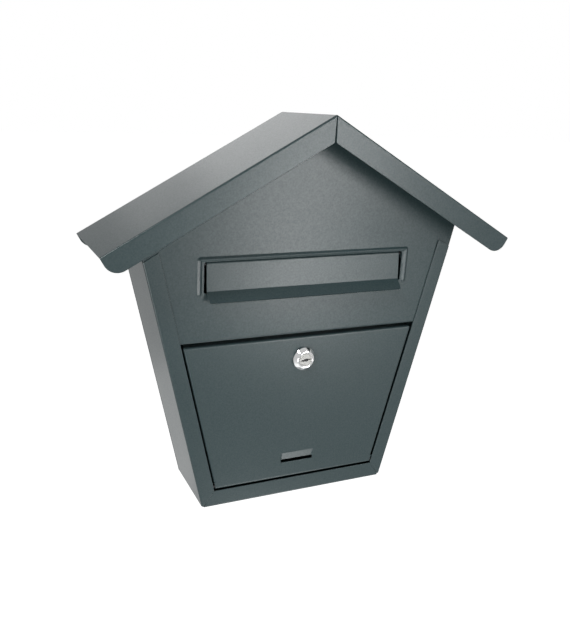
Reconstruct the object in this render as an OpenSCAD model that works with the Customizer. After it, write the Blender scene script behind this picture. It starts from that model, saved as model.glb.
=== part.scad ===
// Wall-mounted letter box with a gabled roof, a hinged letter flap and a locking door.
// X runs across the box, Y from the front towards the wall and Z up.  The origin is the middle
// of the four wall holes, on the face that lies against the wall.

/* [Body] */
// Height from the underside of the body to the ridge
total_h = 372; // [350:1:400]
// Width across the bottom of the body
base_w = 200; // [180:1:220]
// Lean of the side walls from upright, in degrees
side_lean = 13.2; // [10:0.1:15]
// Depth from the wall to the front rim
body_d = 76; // [70:1:110]
// Thickness of every folded sheet
sheet = 1; // [0.8:0.1:1.2]
// Width of the front rim down each side
rim_w = 16; // [14:0.5:20]
// Height of the front rim across the bottom
rim_h = 16.5; // [14:0.5:20]
// Width of the rim that carries the back panel
back_rim_w = 12; // [8:0.5:16]
// Width of the flange under each roof slope
seat_w = 16; // [14:0.5:20]
// Radius of the bends at the bottom corners
bend_r = 2.5; // [2:0.1:4]
// Width of the open mitre in the folded corners
mitre_gap = 0.4; // [0.2:0.1:0.8]

/* [Roof] */
// Pitch of each slope, in degrees
roof_pitch = 29.1; // [26:0.1:31]
// Half of the width across the eaves
eave_w = 200.5; // [185:0.5:215]
// Distance that the roof stands out in front of the body
overhang = 33; // [20:1:45]
// Depth of the turned-down edges, square to the slope
fascia = 19.7; // [16:0.1:24]
// Radius of the rounded ends of the turned-down edges
fascia_r = 12.5; // [8:0.5:14]
// Width of the slit under the ridge, at its top
slit_top = 1; // [0.6:0.1:1.4]
// Width of the slit under the ridge, at its bottom
slit_foot = 2; // [1.5:0.1:3]
// Distance of the roof studs from the side walls
stud_in = 8.5; // [8:0.5:9]
// Distance between the two studs of one slope
stud_pitch = 40; // [30:1:45]
// Radius of a roof stud
stud_r = 2; // [1.5:0.1:2.2]
// Length of a roof stud below the roof
stud_len = 9; // [8:0.5:12]

/* [Wall holes] */
// Height of the middle of the wall holes above the underside
hole_mid_h = 160; // [150:1:170]
// Spacing of the wall holes across the box
hole_dx = 140; // [120:1:150]
// Spacing of the wall holes up the box
hole_dz = 180; // [160:1:200]
// Radius of a wall hole
hole_r = 3.5; // [2.5:0.1:4]

/* [Letter slot] */
// Height of the lower edge of the front panel
panel_foot = 169.8; // [169.5:0.1:172]
// Height of the lower edge of the slot
slot_foot = 215.8; // [214.5:0.1:216]
// Height of the slot
slot_h = 28.7; // [28.4:0.1:30]
// Half of the width of the slot
slot_w = 102.5; // [101.5:0.1:104]
// Distance from the slot to the middle of the bead round it
bead_off = 4.2; // [3.8:0.1:6]
// Radius of the bead round the slot
bead_r = 1.75; // [1.5:0.05:2]
// Distance from the top of the slot to the middle of the bead above it
bead_head = 2.5; // [2.3:0.1:4]
// Depth of the ledge that the door closes against
ledge_drop = 12; // [9:0.5:14]

/* [Letter flap] */
// Gap at each side of the flap
flap_side = 2.5; // [1.5:0.1:4]
// Gap above the flap's rolled top
flap_head = 0.15; // [0.1:0.05:0.4]
// Distance of the flap's top behind the front rim
flap_set = 2.5; // [2.3:0.1:3]
// Height of the fold of the lip above the slot's lower edge
fold_rise = 1.5; // [1.3:0.1:2.2]
// Length of the finger lip
lip_len = 12; // [9:0.5:13]
// Bend between the flap and its lip, in degrees
lip_bend = 37.5; // [36:0.5:45]
// Outward tilt of the closed flap, in degrees
flap_tilt = 4.7; // [4.5:0.1:5.5]
// Set-back of the ends of the lip and of the rolled hinge
lip_inset = 0.3; // [0.2:0.1:3]

/* [Door] */
// Gap at each side of the door
door_gap = 2; // [1.5:0.1:3]
// Height of the door's lower edge
door_foot = 18; // [17.8:0.1:19]
// Gap between the door's top edge and the front panel
door_head = 3.4; // [3.2:0.1:8]
// Depth of the door's folded edges
door_fold = 15; // [12:0.5:16]
// Half of the width of the sight louvre
louvre_w = 17.5; // [15:0.5:25]
// Height of the lower edge of the louvre
louvre_foot = 34.8; // [32:0.1:40]
// Height of the louvre above its lower edge
louvre_h = 10.4; // [8:0.1:12]
// Depth to which the louvre is pressed in
louvre_d = 1.6; // [1.3:0.1:4]
// Rise of the pressed tongue's free edge above the louvre's lower edge
louvre_gap = 2.5; // [1.5:0.1:3.5]
// Thickness of the rubber door buffers
buffer_t = 1.2; // [1:0.1:2]
// Width of a door buffer
buffer_w = 14; // [8:1:20]
// Height of a door buffer
buffer_h = 6; // [4:0.5:6.5]
// Distance of each door buffer from the middle
buffer_x = 80; // [50:1:90]

/* [Hinges] */
// Radius of the hinge rods
rod_r = 1.5; // [1.3:0.1:1.7]
// Thickness of the hinge brackets
lug_t = 1.5; // [1:0.1:2]
// Width of the feet of the hinge brackets
lug_foot = 11; // [8:0.5:14]
// Reach of a hinge bracket round its rod
lug_r = 4.5; // [4:0.1:5]
// Length of the bent ends of the hinge rods, beyond the rod
rod_hook = 5; // [3:0.5:8]

/* [Lock] */
// Height of the lock above the underside of the box
lock_h = 144.8; // [142:0.1:146]
// Radius of the bezel at the door
bezel_r = 11.7; // [11:0.1:13]
// Radius of the bezel's front face
face_r = 8.5; // [8.3:0.1:9.5]
// Distance that the bezel stands out from the door
bezel_h = 6; // [4:0.5:8]
// Height of the bezel's straight skirt below its cone
skirt_h = 2.4; // [1:0.1:3]
// Radius of the threaded barrel
barrel_r = 8; // [7.8:0.1:8.5]
// Radius of the key plug
plug_r = 6; // [5.9:0.1:6.3]
// Radius of the plug's head
head_r = 7; // [6.8:0.1:7.4]
// Thickness of the plug's head
head_t = 1.5; // [1:0.1:2]
// Width of the keyhole
key_w = 9.5; // [8:0.1:10]
// Height of the keyhole
key_h = 2.5; // [2:0.1:2.8]
// Depth of the keyhole
key_d = 16; // [14:0.5:16]
// Number of wafers in the plug
wafers = 5; // [3:1:5]
// Thickness of a wafer
wafer_t = 1; // [0.6:0.1:1.1]
// Distance from one wafer to the next
wafer_pitch = 2; // [1.8:0.1:2.2]
// Thickness of the locking cam
cam_t = 2; // [1.5:0.1:3]
// Width of the locking cam
cam_w = 14; // [12:0.5:16]
// Length of the cam from the middle of the lock to its tip
cam_len = 30; // [28:0.5:32]
// Width across the flats of the stud that turns the cam
stud_af = 7; // [6.5:0.1:8]
// Radius of the cam screw
screw_r = 2; // [1.5:0.1:2]
// Thickness of the barrel nut
nut_t = 3; // [2:0.5:5]
// Width across the flats of the barrel nut
nut_af = 22; // [20:0.5:24]

/* [Clearances] */
// Gap between pieces that pass each other
pass_gap = 0.3; // [0.2:0.05:0.5]
// Gap between pieces that are fixed together on a slope
seat_gap = 0.1; // [0.05:0.05:0.2]
// Radial gap of a turning fit
run_gap = 0.05; // [0.03:0.01:0.08]
// Gap behind the ledge that the cam passes
cam_gap = 0.4; // [0.3:0.1:0.8]

/* [Hidden] */
$fn = 48;

coat = [0.33, 0.37, 0.38];
steel = [0.72, 0.73, 0.74];
chrome = [0.86, 0.87, 0.88];
brass = [0.80, 0.66, 0.34];
rubber = [0.10, 0.10, 0.11];

front_y = -body_d;                        // front face of the front rim
panel_y = front_y + sheet;                // front face of the front panel
roof_y = front_y - overhang;              // front face of the roof
roof_seat = sheet + seat_gap;             // depth of the body's top edges below the roof's top
curl_r = rod_r + run_gap + sheet;         // outer radius of a rolled hinge
far = 2 * total_h;                        // longer than anything that it cuts

slot_top = slot_foot + slot_h;
flap_w = slot_w - flap_side;              // half of the width of the flap
flap_axis = [front_y + flap_set + curl_r, slot_top - flap_head - curl_r];
flap_drop = (flap_axis[1] - slot_foot - fold_rise) / cos(flap_tilt);    // from the axis to the lip's fold
flap_curl = [180, 300];                   // open part of the flap's rolled top, in degrees
door_axis = [front_y + curl_r, door_foot + curl_r];
door_top = panel_foot - door_head;
door_curl = [90, 180];                    // open part of the door's rolled foot, in degrees

ledge_y = front_y + door_fold + pass_gap + buffer_t;    // front face of the ledge's lip
cam_y = ledge_y + sheet + cam_gap;                      // front face of the cam
barrel_end = cam_y - pass_gap;
washer_t = 0.8;
stud_washer_r = 4;
stud_nut_af = 7;
stud_nut_t = 3.2;

// ---------- Outlines ----------

// Half width of the body at height h
function half_w(h) = base_w / 2 + h * tan(side_lean);

// Half width at height h of an outline set in by d, square to the side walls
function wall_x(h, d) = half_w(h) - d / cos(side_lean);

// Height of the roof plane over x, lowered by d square to the slope
function roof_h(x, d) = total_h - d / cos(roof_pitch) - abs(x) * tan(roof_pitch);

// Height where a side wall set in by d meets the roof plane lowered by drop
function meet_h(d, drop) =
    (roof_h(wall_x(0, d), drop)) / (1 + tan(roof_pitch) * tan(side_lean));

function unit(v) = v / norm(v);

// Corner b of the path a-b-c, rounded to radius r
function round_corner(a, b, c, r) =
    let (u = unit(a - b), v = unit(c - b), half = acos(u * v) / 2, sweep = 180 - 2 * half)
    let (centre = b + unit(u + v) * r / sin(half))
    let (from = (b + u * r / tan(half) - centre), to = (b + v * r / tan(half) - centre))
    [for (i = [0:6]) let (t = i / 6)
        centre + (from * sin((1 - t) * sweep) + to * sin(t * sweep)) / sin(sweep)];

// Gabled outline set in by d from the walls, from foot_h up to the roof plane lowered by drop
module gable(d, foot_h, drop, r = 0) {
    top_h = meet_h(d, drop);
    left = [-wall_x(foot_h, d), foot_h];
    right = [wall_x(foot_h, d), foot_h];
    left_top = [-wall_x(top_h, d), top_h];
    right_top = [wall_x(top_h, d), top_h];
    polygon(concat(
        r > 0 ? round_corner(left_top, left, right, r) : [left],
        r > 0 ? round_corner(left, right, right_top, r) : [right],
        [right_top, [0, roof_h(0, drop)], left_top]));
}

// Half plane below the roof plane lowered by drop
module below_roof(drop)
    polygon([[-far, -far], [far, -far], [far, roof_h(far, drop)], [0, roof_h(0, drop)],
        [-far, roof_h(far, drop)]]);

// Upright trapezium of the door opening, set in by d horizontally, between two heights
module door_outline(d, foot_h, top_h)
    polygon([
        [-half_w(foot_h) + d, foot_h], [half_w(foot_h) - d, foot_h],
        [half_w(top_h) - d, top_h], [-half_w(top_h) + d, top_h]]);

// ---------- Placing ----------

// Heights are given above the underside of the body; this brings them to the origin
module place() translate([0, 0, -hole_mid_h]) children();

// A flat outline in X and Z, made solid from y0 to y1
module slab(y0, y1) translate([0, y1, 0]) rotate([90, 0, 0]) linear_extrude(y1 - y0) children();

// A flat outline in Y and Z, made solid from x0 to x1
module bar(x0, x1)
    translate([x0, 0, 0]) rotate([90, 0, 90]) linear_extrude(x1 - x0) children();

// A round rod along Y from y0 to y1
module pin_y(r, y0, y1) translate([0, y1, 0]) rotate([90, 0, 0]) cylinder(r = r, h = y1 - y0);

// A round rod along X from x0 to x1, through the point axis in Y and Z
module pin_x(r, x0, x1, axis)
    translate([x0, axis[0], axis[1]]) rotate([0, 90, 0]) cylinder(r = r, h = x1 - x0);

module both_sides() {
    children();
    mirror([1, 0, 0]) children();
}

// ---------- Body ----------

// One open mitre, from the bend at the bottom corner to the inner corner of the rim
module mitre_slit() {
    outer = [half_w(0), 0];
    run = [half_w(rim_h) - rim_w, rim_h] - outer;
    translate(outer) rotate(atan2(run[1], run[0]))
        translate([bend_r, -mitre_gap / 2]) square([norm(run), mitre_gap]);
}

module front_rim() slab(front_y, front_y + sheet)
    difference() {
        gable(0, 0, roof_seat, bend_r);
        door_outline(rim_w, rim_h, far);
        both_sides() mitre_slit();
    }

module back_rim() slab(-2 * sheet, -sheet)
    difference() {
        intersection() {
            gable(0, 0, roof_seat, bend_r);
            below_roof(fascia + pass_gap);
        }
        door_outline(back_rim_w, back_rim_w, far);
    }

module walls() difference() {
    slab(front_y, -sheet) difference() {
        gable(0, 0, roof_seat, bend_r);
        gable(sheet, sheet, -far / 4, bend_r - sheet);
    }
    slab(-2 * sheet - pass_gap, 0) difference() {
        translate([-far / 2, 0]) square([far, far]);
        below_roof(fascia + pass_gap);
    }
}

// Height of the top edges of the side walls, and the place of the studs along the slope
seat_h = meet_h(0, roof_seat);
stud_x = half_w(seat_h) - stud_in;

// Flanges folded in from the tops of the side walls, which carry the roof
module roof_flanges() difference() {
    slab(front_y + 2 * sheet + pass_gap, -2 * sheet - pass_gap) difference() {
        gable(0, 0, roof_seat);
        gable(sheet, sheet, roof_seat + sheet);
        translate([-half_w(seat_h) + seat_w, 0]) square([2 * (half_w(seat_h) - seat_w), total_h]);
        translate([-far / 2, 0]) square([far, seat_h - 2 * sheet]);
    }
    each_stud() translate([0, 0, -3 * sheet - seat_gap])
        cylinder(r = stud_r + seat_gap, h = 3 * sheet);
}

module body_wrap() color(coat) place() {
    walls();
    front_rim();
    back_rim();
    roof_flanges();
}

module back_panel() color(coat) place() difference() {
    slab(-sheet, 0) gable(0, 0, sheet, bend_r);
    for (x = [-1, 1], z = [-1, 1])
        translate([x * hole_dx / 2, 0, hole_mid_h + z * hole_dz / 2])
            pin_y(hole_r, -2 * sheet, sheet);
}

// Bead along three sides of the slot, of radius r
module bead(r) {
    x = slot_w + bead_off;
    top = slot_top + bead_head;
    both_sides() {
        translate([x, panel_y, slot_foot]) cylinder(r = r, h = top - slot_foot);
        translate([x, panel_y, slot_foot]) sphere(r = r);
        translate([x, panel_y, top]) sphere(r = r);
    }
    pin_x(r, -x, x, [panel_y, top]);
}

// Edge of the front panel folded back and down, which the door closes against
module ledge() {
    x = wall_x(panel_foot + sheet - ledge_drop, sheet) - pass_gap;
    bar(-x, x) {
        translate([panel_y, panel_foot]) square([ledge_y + sheet - panel_y, sheet]);
        translate([ledge_y, panel_foot + sheet - ledge_drop]) square([sheet, ledge_drop]);
    }
}

module front_panel() color(coat) place() {
    difference() {
        union() {
            slab(panel_y, panel_y + sheet) gable(sheet + seat_gap, panel_foot, roof_seat);
            intersection() {
                bead(bead_r);
                slab(panel_y - 2 * bead_r, panel_y + sheet / 2) square(far, center = true);
            }
        }
        bead(bead_r - sheet);
        slab(panel_y - sheet, panel_y + 2 * sheet)
            translate([-slot_w, slot_foot]) square([2 * slot_w, slot_h]);
    }
    ledge();
}

// ---------- Roof ----------

slope_len = eave_w / cos(roof_pitch);

// Right-hand turned-down edge: square at the eave, with a rounded lower corner
module fascia_outline() intersection() {
    translate([0, total_h]) rotate(-roof_pitch) union() {
        translate([-fascia, -fascia]) square([fascia + slope_len - fascia_r, fascia]);
        translate([-fascia, -fascia + fascia_r])
            square([fascia + slope_len, fascia - fascia_r]);
        intersection() {
            translate([slope_len - fascia_r, fascia_r - fascia]) circle(r = fascia_r);
            translate([slope_len - fascia_r, -fascia]) square(fascia_r);
        }
    }
    polygon([[slit_top / 2, total_h], [slit_foot / 2, roof_h(0, fascia)],
        [slit_foot / 2, 0], [far, 0], [far, total_h]]);
}

module roof_slopes() {
    eave = [eave_w, roof_h(eave_w, 0)];
    under = eave - sheet * [sin(roof_pitch), cos(roof_pitch)];
    slab(roof_y, -sheet) polygon([
        [-eave[0], eave[1]], [0, total_h], eave, under,
        [0, total_h - sheet / cos(roof_pitch)], [-under[0], under[1]]]);
}

module roof() color(coat) place() {
    roof_slopes();
    slab(roof_y, roof_y + sheet) both_sides() fascia_outline();
    slab(-2 * sheet, -sheet) both_sides() fascia_outline();
}

// Puts its children at each stud, with Z square to the slope and zero on the roof's top face
module each_stud()
    both_sides() for (y = [-1, 1])
        translate([stud_x, front_y / 2 + y * stud_pitch / 2, roof_h(stud_x, 0)])
            rotate([0, roof_pitch, 0]) children();

module roof_studs() color(steel) place() each_stud()
    translate([0, 0, -sheet - stud_len]) cylinder(r = stud_r, h = stud_len);

module roof_washers() color(steel) place() each_stud()
    translate([0, 0, -sheet - roof_seat - washer_t]) difference() {
        cylinder(r = stud_washer_r, h = washer_t);
        translate([0, 0, -washer_t]) cylinder(r = stud_r + run_gap, h = 3 * washer_t);
    }

module roof_nuts() color(steel) place() each_stud()
    translate([0, 0, -sheet - roof_seat - washer_t - stud_nut_t]) difference() {
        cylinder(r = stud_nut_af / 2 / cos(30), h = stud_nut_t, $fn = 6);
        translate([0, 0, -stud_nut_t]) cylinder(r = stud_r + run_gap, h = 3 * stud_nut_t);
    }

// ---------- Letter flap ----------

flap_lug_x = slot_w + pass_gap;

// Ear of a flap bracket: it reaches back from the front panel and round the rod
module flap_ear() {
    back = panel_y + sheet;
    translate([back, flap_axis[1] - lug_r]) square([flap_axis[0] - back, 2 * lug_r]);
    intersection() {
        translate(flap_axis) circle(r = lug_r);
        translate([back, flap_axis[1] - lug_r]) square(2 * lug_r);
    }
}

module flap_brackets() color(coat) place() both_sides() difference() {
    union() {
        bar(flap_lug_x, flap_lug_x + lug_t) flap_ear();
        bar(flap_lug_x, flap_lug_x + lug_foot)
            translate([panel_y + sheet, flap_axis[1] - lug_r]) square([sheet, 2 * lug_r]);
    }
    pin_x(rod_r + run_gap, flap_lug_x - lug_t, flap_lug_x + 2 * lug_t, flap_axis);
}

// Hinge rod through brackets whose outer faces are at lug_x, with both ends bent back
module hinge_rod(lug_x, axis) {
    end_x = lug_x + rod_r + pass_gap;
    pin_x(rod_r, -end_x, end_x, axis);
    both_sides() translate([end_x, 0, axis[1]]) {
        pin_y(rod_r, axis[0], axis[0] + rod_r + rod_hook);
        translate([0, axis[0], 0]) sphere(r = rod_r);
    }
}

module flap_rod() color(steel) place() hinge_rod(flap_lug_x + lug_t, flap_axis);

function ray(angle) = 3 * curl_r * [cos(angle), sin(angle)];

// Sheet rolled round a rod at the middle of the outline, open between the two angles of gap
module curl(gap) difference() {
    circle(r = curl_r);
    circle(r = curl_r - sheet);
    polygon([[0, 0], ray(gap[0]), ray((gap[0] + gap[1]) / 2), ray(gap[1])]);
}

module letter_flap() color(coat) place() {
    bar(-flap_w + lip_inset, flap_w - lip_inset) translate(flap_axis) rotate(-flap_tilt) {
        curl(flap_curl);
        translate([-curl_r, -flap_drop]) {
            rotate(-lip_bend) translate([0, -lip_len]) square([sheet, lip_len]);
            polygon([[0, 0], [sheet, 0], [sheet, -sheet * tan(lip_bend / 2)],
                sheet * [cos(lip_bend), -sin(lip_bend)]]);
        }
    }
    bar(-flap_w, flap_w) translate(flap_axis) rotate(-flap_tilt)
        translate([-curl_r, -flap_drop]) square([sheet, flap_drop]);
}

// ---------- Door ----------

door_lug_x = half_w(door_axis[1]) - rim_w + pass_gap;

// Ear of a door bracket, standing on the floor of the body
module door_ear() {
    near = door_axis[0] - rod_r;
    translate([near, sheet]) square([rod_r + lug_r, door_axis[1] - sheet]);
    translate([near, door_axis[1] - rod_r]) square([rod_r + lug_r, rod_r + lug_r]);
}

module door_brackets() color(coat) place() both_sides() difference() {
    union() {
        bar(door_lug_x, door_lug_x + lug_t) door_ear();
        bar(door_lug_x + lug_t - lug_foot, door_lug_x + lug_t)
            translate([door_axis[0] - rod_r, sheet]) square([rod_r + lug_r, sheet]);
    }
    pin_x(rod_r + run_gap, door_lug_x - lug_t, door_lug_x + 2 * lug_t, door_axis);
}

module door_rod() color(steel) place() hinge_rod(door_lug_x + lug_t, door_axis);

// Rubber pads on the ledge, which the door's top fold closes against
module door_buffers() color(rubber) place() both_sides()
    translate([buffer_x - buffer_w / 2, ledge_y - buffer_t, door_top - buffer_h])
        cube([buffer_w, buffer_t, buffer_h]);

door_in = rim_w + door_gap;               // inset of the door's edges from the side walls
louvre_top = louvre_foot + louvre_h;

// Front of the door with its folded edges: down both sides, from above the hinge, and along the top
module door_tray() {
    fold_foot = door_axis[1] + 2 * curl_r;
    difference() {
        slab(front_y, front_y + door_fold) door_outline(door_in, door_axis[1], door_top);
        slab(panel_y, panel_y + door_fold)
            door_outline(door_in + sheet / cos(side_lean), 0, door_top - sheet);
        translate([-far / 2, panel_y, 0]) cube([far, door_fold, fold_foot]);
    }
}

// Tongue pressed in above the louvre's opening, with a cheek at each end
module louvre() {
    head = [front_y, louvre_top];
    edge = [front_y + louvre_d, louvre_foot + louvre_gap];
    inner = [[sheet, 0] + edge, head + [sheet, sheet / 2]];
    bar(-louvre_w, louvre_w) polygon(concat([head + [0, sheet / 2], head, edge], inner));
    both_sides() bar(louvre_w - sheet / 2, louvre_w + sheet / 2)
        polygon(concat([[front_y, louvre_foot], [front_y + sheet, louvre_foot]], inner, [head]));
}

module door_panel() color(coat) place() {
    difference() {
        door_tray();
        translate([0, 0, lock_h]) pin_y(barrel_r + seat_gap, front_y - sheet, front_y + 2 * sheet);
        slab(front_y - sheet, front_y + 2 * sheet)
            translate([-louvre_w, louvre_foot]) square([2 * louvre_w, louvre_h]);
    }
    louvre();
    door_hem = half_w(door_foot) - door_in;
    bar(-door_hem, door_hem) translate(door_axis) curl(door_curl);
}

// ---------- Lock ----------

// Brings pieces modelled round the lock's axis to the lock
module at_lock() place() translate([0, 0, lock_h]) children();

module lock_housing() color(chrome) at_lock() difference() {
    union() {
        pin_y(bezel_r, front_y - skirt_h, front_y);
        translate([0, front_y - skirt_h, 0]) rotate([90, 0, 0])
            cylinder(r1 = bezel_r, r2 = face_r, h = bezel_h - skirt_h);
        pin_y(barrel_r, front_y, barrel_end);
    }
    pin_y(plug_r + run_gap, front_y - 2 * bezel_h, barrel_end + sheet);
    pin_y(head_r + run_gap, front_y - 2 * bezel_h, front_y - bezel_h + head_t + run_gap);
}

module lock_washer() color(steel) at_lock() difference() {
    pin_y(nut_af / 2, front_y + sheet, front_y + sheet + washer_t);
    pin_y(barrel_r + seat_gap, front_y, front_y + 3 * sheet);
}

module lock_nut() color(steel) at_lock() difference() {
    translate([0, front_y + sheet + washer_t + nut_t, 0]) rotate([90, 0, 0])
        cylinder(r = nut_af / 2 / cos(30), h = nut_t, $fn = 6);
    pin_y(barrel_r + run_gap, front_y, front_y + sheet + 3 * nut_t);
}

key_y = front_y - bezel_h;                // front face of the plug
first_wafer = key_y + head_t + wafer_t;
plug_wall = 0.6;                          // wall of the plug at the ends of a wafer
wafer_rim = 0.95;                         // metal of a wafer above and below the key
slot_x = 2 * (plug_r - plug_wall);        // length of a wafer's slot across the plug
slot_z = key_h + 2 * wafer_rim;           // width of a wafer's slot

// Puts its children at each wafer, along the plug
module each_wafer() for (i = [0:wafers - 1])
    translate([0, first_wafer + i * wafer_pitch, 0]) children();

module lock_plug() color(chrome) at_lock() difference() {
    union() {
        pin_y(head_r, key_y, key_y + head_t);
        pin_y(plug_r, key_y, cam_y);
        translate([-stud_af / 2, cam_y - sheet, -stud_af / 2])
            cube([stud_af, sheet + cam_t - seat_gap, stud_af]);
    }
    translate([-key_w / 2, key_y - sheet, -key_h / 2]) cube([key_w, sheet + key_d, key_h]);
    each_wafer() translate([-slot_x / 2, 0, -slot_z / 2])
        cube([slot_x, wafer_t + 2 * run_gap, slot_z]);
    pin_y(screw_r + run_gap, cam_y - screw_len, cam_y + 2 * cam_t);
}

// Brass wafers, each with a window for the key
module lock_wafers() color(brass) at_lock() each_wafer() difference() {
    translate([run_gap - slot_x / 2, run_gap, run_gap - slot_z / 2])
        cube([slot_x - 2 * run_gap, wafer_t, slot_z - 2 * run_gap]);
    translate([plug_wall - key_w / 2, -wafer_t, -key_h / 2 - run_gap])
        cube([key_w - 2 * plug_wall, 3 * wafer_t, key_h + 2 * run_gap]);
}

// Flat cam that points to the left when the lock is open
module lock_cam() color(steel) at_lock() difference() {
    union() {
        pin_y(cam_w / 2, cam_y, cam_y + cam_t);
        translate([-cam_len + cam_w / 2, cam_y, -cam_w / 2])
            cube([cam_len - cam_w / 2, cam_t, cam_w]);
        translate([-cam_len + cam_w / 2, 0, 0]) pin_y(cam_w / 2, cam_y, cam_y + cam_t);
    }
    translate([-stud_af / 2 - run_gap, cam_y - cam_t, -stud_af / 2 - run_gap])
        cube([stud_af + 2 * run_gap, 3 * cam_t, stud_af + 2 * run_gap]);
}

cam_washer_r = stud_af / sqrt(2) + washer_t;
screw_head_r = 3.8;
screw_head_t = 2.5;
screw_len = 8;
screw_slot = 0.8;                         // width of the cross slot in the screw's head
screw_y = cam_y + cam_t + washer_t;       // seat of the screw head

module cam_washer() color(steel) at_lock() difference() {
    pin_y(cam_washer_r, cam_y + cam_t, screw_y);
    pin_y(screw_r + run_gap, cam_y, screw_y + sheet);
}

module cam_screw() color(steel) at_lock() difference() {
    union() {
        pin_y(screw_r, cam_y - screw_len + sheet, screw_y + sheet / 2);
        pin_y(screw_head_r, screw_y, screw_y + screw_head_t);
    }
    for (turn = [0, 90]) rotate([0, turn, 0])
        translate([-screw_r, screw_y + screw_head_t / 2, -screw_slot / 2])
            cube([2 * screw_r, screw_head_t, screw_slot]);
}

body_wrap();
back_panel();
front_panel();
roof();
roof_studs();
roof_washers();
roof_nuts();
flap_brackets();
flap_rod();
letter_flap();
door_brackets();
door_rod();
door_buffers();
door_panel();
lock_housing();
lock_washer();
lock_nut();
lock_plug();
lock_wafers();
lock_cam();
cam_washer();
cam_screw();
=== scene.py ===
import math

import bmesh
import bpy
import numpy as np
from bpy.props import FloatProperty, FloatVectorProperty, PointerProperty
from mathutils import Matrix, Vector


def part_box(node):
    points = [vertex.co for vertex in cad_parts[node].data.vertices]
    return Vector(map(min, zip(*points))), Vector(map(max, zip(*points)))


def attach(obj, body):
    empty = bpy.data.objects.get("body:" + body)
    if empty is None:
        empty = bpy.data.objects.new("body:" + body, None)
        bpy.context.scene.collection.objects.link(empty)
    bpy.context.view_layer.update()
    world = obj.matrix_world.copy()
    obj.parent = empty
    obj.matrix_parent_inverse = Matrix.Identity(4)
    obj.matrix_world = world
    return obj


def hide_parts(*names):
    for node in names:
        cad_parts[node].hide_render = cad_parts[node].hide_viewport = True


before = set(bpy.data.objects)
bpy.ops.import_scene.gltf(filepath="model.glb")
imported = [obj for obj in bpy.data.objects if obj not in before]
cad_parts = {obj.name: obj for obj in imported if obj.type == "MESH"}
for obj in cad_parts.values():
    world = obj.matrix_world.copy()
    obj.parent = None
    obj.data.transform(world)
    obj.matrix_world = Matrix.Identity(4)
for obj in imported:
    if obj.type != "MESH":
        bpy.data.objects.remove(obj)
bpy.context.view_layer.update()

bl_info = {
    "name": "Gabled Wall Mailbox",
    "version": (1, 0, 0),
    "blender": (4, 5, 0),
    "location": "3D View > Sidebar > Mailbox",
    "description": "Folded sheet steel shells, lock, finishes and stage of a gabled wall mailbox",
    "category": "Object",
}

BODY_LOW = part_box("body_wrap")[0]
BACK_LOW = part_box("back_panel")[0]
ROOF_LOW, ROOF_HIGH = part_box("roof")
PANEL_LOW, PANEL_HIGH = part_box("front_panel")
DOOR_LOW, DOOR_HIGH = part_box("door_panel")
BEZEL_LOW, BEZEL_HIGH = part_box("lock_housing")

FOOT = BODY_LOW.z                       # underside of the body
FRONT = BODY_LOW.y                      # front face of the front rim
RIDGE = ROOF_HIGH.z                     # top of the roof
EAVE = ROOF_HIGH.x                      # half of the width over the eaves

MERGE = 1e-6                            # corners that are closer than this become one
SLACK = 1e-7                            # slack when two places are compared
EASE = 0.0006                           # from a bend to the spare row that keeps it tight
QUARTER = math.pi / 2
FOLD = np.linspace(0, QUARTER, 6)       # angles along a fold of a quarter turn
MIRROR = np.array([-1, 1, 1])           # from the right half to the left half


# ---------- Sizes and colours ----------

def length(name, description, default):
    """A length in metres."""
    return FloatProperty(name=name, description=description, default=default, unit="LENGTH", precision=5)


def angle(name, description, degrees):
    """An angle whose default is given in degrees."""
    return FloatProperty(name=name, description=description, default=math.radians(degrees), subtype="ANGLE")


def colour(name, description, default):
    """A colour in linear red, green and blue."""
    return FloatVectorProperty(name=name, description=description, default=default, size=3,
                               min=0, max=1, subtype="COLOR")


def power(name, description, default):
    """The power of a lamp."""
    return FloatProperty(name=name, description=description, default=default, unit="POWER")


def factor(name, description, default):
    """A share between nothing and one."""
    return FloatProperty(name=name, description=description, default=default, min=0, max=1, subtype="FACTOR")


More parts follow.
